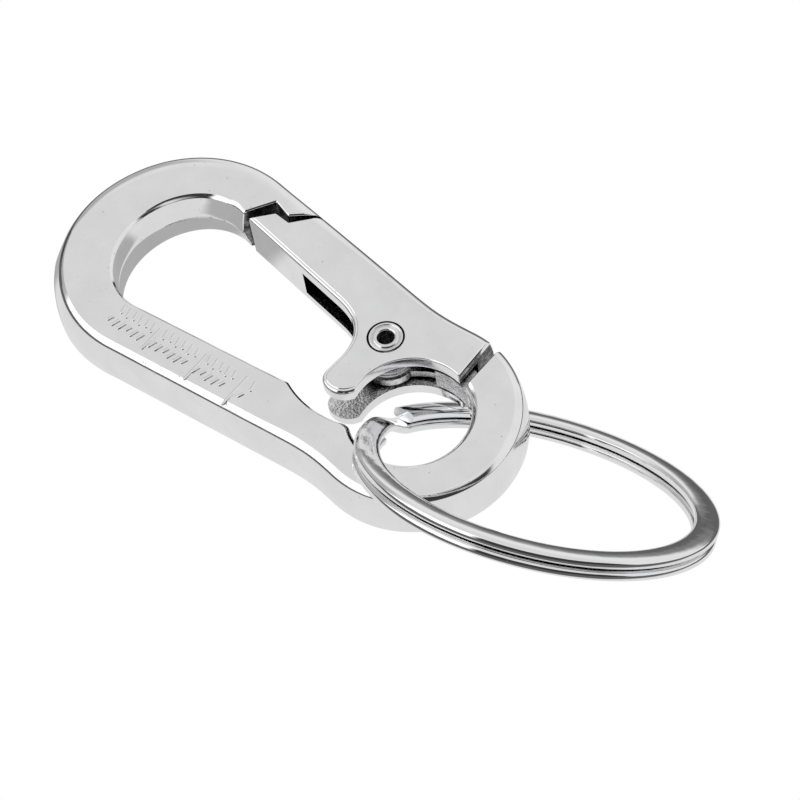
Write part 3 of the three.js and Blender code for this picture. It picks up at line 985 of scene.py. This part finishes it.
def make_hatch():
    """Plain raised hatching on the spine: three long bars, and two rows of short dashes between them."""
    vertices = []
    faces = []
    for start, end in HATCH_BARS:
        ridge(vertices, faces, start, end)
    for i in range(HATCH_DASHES):
        x = HATCH_FIRST + HATCH_STEP * i
        if min(abs(x + HATCH_LEAN - start[0]) for start, _ in HATCH_BARS) < HATCH_CLEAR:
            continue
        top = line_at(HATCH_TOP, x, HATCH_SLOPE)[1]
        upper = ((x, top), (x + 0.3, top - 0.95 - 0.15 * (i % 2)))
        lower = ((x + 0.05, top - 1.4), (x - 0.2, top - 2.4 + 0.25 * (i % 3 == 0)))
        ridge(vertices, faces, *upper)
        ridge(vertices, faces, *lower)
    return mesh_object("spine_hatch", vertices, faces)


def finish_piece(thing, body, slot, *nodes):
    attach(thing, body)
    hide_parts(*nodes)


def build_frame():
    casting = walled_solid("frame_casting", frame_outline())
    casting.data.materials.append(CHROME)
    paint_gap_shade(casting, GAP_SHADE_DEPTH, FRAME_NOSE[0:2], FRAME_NOSE[1:3], FRAME_NOSE[2:4],
            tail_line(FRAME_TAIL_ANGLE, FRAME_TAIL_RUN))
    shade(casting)
    finish_piece(casting, "hook", "chrome_casting", "frame")


def build_lug():
    lug = make_lug()
    shade(lug)
    finish_piece(lug, "hook", "chrome_casting", "frame")


def build_hatch():
    hatch = make_hatch()
    hatch.data.materials.append(CHROME)
    shade(hatch, sharp_degrees=60)
    finish_piece(hatch, "hook", "chrome_casting", "frame")


def build_gate():
    gate = make_gate()
    paint_gap_shade(gate, GAP_SHADE_DEPTH, GATE_NOSE[0:2], GATE_NOSE[1:3], GATE_NOSE[2:4])
    paint_gap_shade(gate, TAIL_GAP_SHADE_DEPTH, tail_line(GATE_TAIL_ANGLE, GATE_TAIL_RUN))
    shade(gate)
    finish_piece(gate, "gate", "chrome_casting", "gate")


def build_rivet():
    rivet = make_rivet()
    shade(rivet, sharp_degrees=60)
    finish_piece(rivet, "hook", "rivet_steel", "rivet")


def build_spring():
    spring = make_spring()
    spring.data.materials.append(WIRE)
    shade(spring, sharp_degrees=60)
    finish_piece(spring, "hook", "spring_steel", "gate_spring")


def build_ring():
    strip = make_split_ring()
    strip.data.materials.append(STEEL)
    shade(strip, sharp_degrees=50)
    finish_piece(strip, "split_ring", "ring_steel", "split_ring")


build_frame()
build_lug()
build_hatch()
build_gate()
build_rivet()
build_spring()
build_ring()


# ---------------------------------------------------------------- studio

CAMERA_AZIMUTH = math.radians(50.72)
CAMERA_ELEVATION = math.radians(55.71)
CAMERA_ROLL = math.radians(-10.55)
CAMERA_LEFT = 0.747
CAMERA_UP = 0.787
CAMERA_DISTANCE = 212.02
FOCAL = 117.0


def make_camera():
    """The camera, from its angles and distance in the hook's own frame."""
    data = bpy.data.cameras.new("camera")
    data.lens = FOCAL
    data.sensor_width = 36.0
    data.clip_start = 0.01
    data.clip_end = 10
    camera = bpy.data.objects.new("camera", data)
    bpy.context.scene.collection.objects.link(camera)
    flat = math.cos(CAMERA_ELEVATION)
    back = Vector((math.sin(CAMERA_AZIMUTH) * flat, -math.cos(CAMERA_AZIMUTH) * flat,
                   math.sin(CAMERA_ELEVATION)))
    right = Vector((math.cos(CAMERA_AZIMUTH), math.sin(CAMERA_AZIMUTH), 0))
    up = back.cross(right)
    turned_right = right * math.cos(CAMERA_ROLL) + up * math.sin(CAMERA_ROLL)
    turned_up = up * math.cos(CAMERA_ROLL) - right * math.sin(CAMERA_ROLL)
    turn = Matrix((turned_right, turned_up, back)).transposed()
    place = back * CAMERA_DISTANCE - turned_right * CAMERA_LEFT + turned_up * CAMERA_UP
    camera.matrix_world = HOOK @ Matrix.Translation(place * MM) @ turn.to_4x4()
    bpy.context.scene.camera = camera


# The floor is white paper to the camera. Reflections see it grey by the object, darker inside the big loop
# where a shadow is painted, and dark further off. These are in metres, from the middle of the row frame.
FLOOR_HALF = 1.5
FLOOR_NEAR = 0.77
FLOOR_FAR = 0.12
OBJECT_HALF = 0.022
NEAR_EDGE = (0.024, 0.034)
LOOP_SHADE = 0.42
LOOP_SHADE_X = (-0.0225, -0.020)
LOOP_SHADE_Y = (0.007, 0.010)
LOOP_MIDDLE_Y = -0.001


def floor_reflection(tree):
    """How bright the floor is in a reflection, with a painted shadow inside the big loop."""
    x, y, _ = split(tree, tree.nodes.new("ShaderNodeNewGeometry").outputs["Position"])
    past_end = node_math(tree, "SUBTRACT", node_math(tree, "ABSOLUTE", x), OBJECT_HALF)
    distance = node_radius(tree, node_math(tree, "MAXIMUM", past_end), y)
    level = node_range(tree, distance, NEAR_EDGE, (FLOOR_NEAR, FLOOR_FAR))
    # A painted shadow of the big loop on the floor, seen only in reflections.
    off_middle = node_math(tree, "ABSOLUTE", node_math(tree, "SUBTRACT", y, LOOP_MIDDLE_Y))
    in_loop = node_math(tree, "MULTIPLY", node_range(tree, x, LOOP_SHADE_X, (1.0, 0.0)),
                        node_range(tree, off_middle, LOOP_SHADE_Y, (LOOP_SHADE, 0.0)))
    return node_math(tree, "MULTIPLY", level, node_math(tree, "SUBTRACT", 1.0, in_loop))


def paper():
    material = bpy.data.materials.new("paper")
    material.use_nodes = True
    tree = material.node_tree
    tree.nodes.clear()
    glow = tree.nodes.new("ShaderNodeEmission")
    strength = tree.nodes.new("ShaderNodeMix")
    camera_ray = tree.nodes.new("ShaderNodeLightPath").outputs["Is Camera Ray"]
    tree.links.new(camera_ray, strength.inputs["Factor"])
    tree.links.new(floor_reflection(tree), strength.inputs["A"])
    strength.inputs["B"].default_value = 1.0
    tree.links.new(strength.outputs["Result"], glow.inputs["Strength"])
    output = tree.nodes.new("ShaderNodeOutputMaterial")
    tree.links.new(glow.outputs[0], output.inputs["Surface"])
    return material


def make_floor():
    mesh = bpy.data.meshes.new("floor")
    corners = [(-FLOOR_HALF, -FLOOR_HALF, 0), (FLOOR_HALF, -FLOOR_HALF, 0),
               (FLOOR_HALF, FLOOR_HALF, 0), (-FLOOR_HALF, FLOOR_HALF, 0)]
    mesh.from_pydata(corners, [], [(0, 1, 2, 3)])
    mesh.materials.append(paper())
    floor = bpy.data.objects.new("floor", mesh)
    bpy.context.scene.collection.objects.link(floor)


WALL_LEVEL = 0.82
CEILING_LEVEL = 0.73
CEILING_EDGE = (35, 60)
# Each patch of the tent: azimuth from and to, elevation from and to, softness in degrees, brightness.
# Azimuth 0 is in front (-Y), 90 is to the right (+X). It ends at -180, so -195 has no soft edge.
PATCHES = [
    ((-125, -62), (-20, 36), 8, 0.45),
    ((2, 102), (-20, 37), 5, 0.04),
    ((-62, 2), (-20, 50), 5, 1.3),
    ((-195, -122), (-40, 7), 6, 0.2),
]


def soft_edge(tree, angle, edge, soft, onto):
    return node_range(tree, angle, (edge - soft, edge + soft), onto)


def patch_mask(tree, azimuth, elevation, across, height, soft):
    """1 inside a patch, 0 outside it."""
    left = soft_edge(tree, azimuth, across[0], soft, (0, 1))
    right = soft_edge(tree, azimuth, across[1], soft, (1, 0))
    foot = soft_edge(tree, elevation, height[0], soft, (0, 1))
    head = soft_edge(tree, elevation, height[1], soft, (1, 0))
    mask = node_math(tree, "MULTIPLY", left, right)
    mask = node_math(tree, "MULTIPLY", mask, foot)
    return node_math(tree, "MULTIPLY", mask, head)


def make_world():
    """A pale tent round the object: soft light from all sides, with four patches to reflect.

    They are a grey wall at the left, a dark one on the camera's side, a bright one in front between
    them, and a dim low one behind to the left.
    """
    world = bpy.data.worlds.new("studio")
    bpy.context.scene.world = world
    world.use_nodes = True
    tree = world.node_tree
    x, y, z = split(tree, tree.nodes.new("ShaderNodeTexCoord").outputs["Generated"])
    front = node_math(tree, "MULTIPLY", y, -1.0)
    azimuth = node_math(tree, "DEGREES", node_math(tree, "ARCTAN2", x, front))
    elevation = node_math(tree, "DEGREES", node_math(tree, "ARCSINE", z))
    level = node_range(tree, elevation, CEILING_EDGE, (WALL_LEVEL, CEILING_LEVEL))
    for across, height, soft, brightness in PATCHES:
        mix = tree.nodes.new("ShaderNodeMix")
        mask = patch_mask(tree, azimuth, elevation, across, height, soft)
        tree.links.new(mask, mix.inputs["Factor"])
        tree.links.new(level, mix.inputs["A"])
        mix.inputs["B"].default_value = brightness
        level = mix.outputs["Result"]
    tree.links.new(level, tree.nodes["Background"].inputs["Color"])


make_camera()
make_floor()
make_world()
bpy.context.scene.view_settings.view_transform = "Standard"
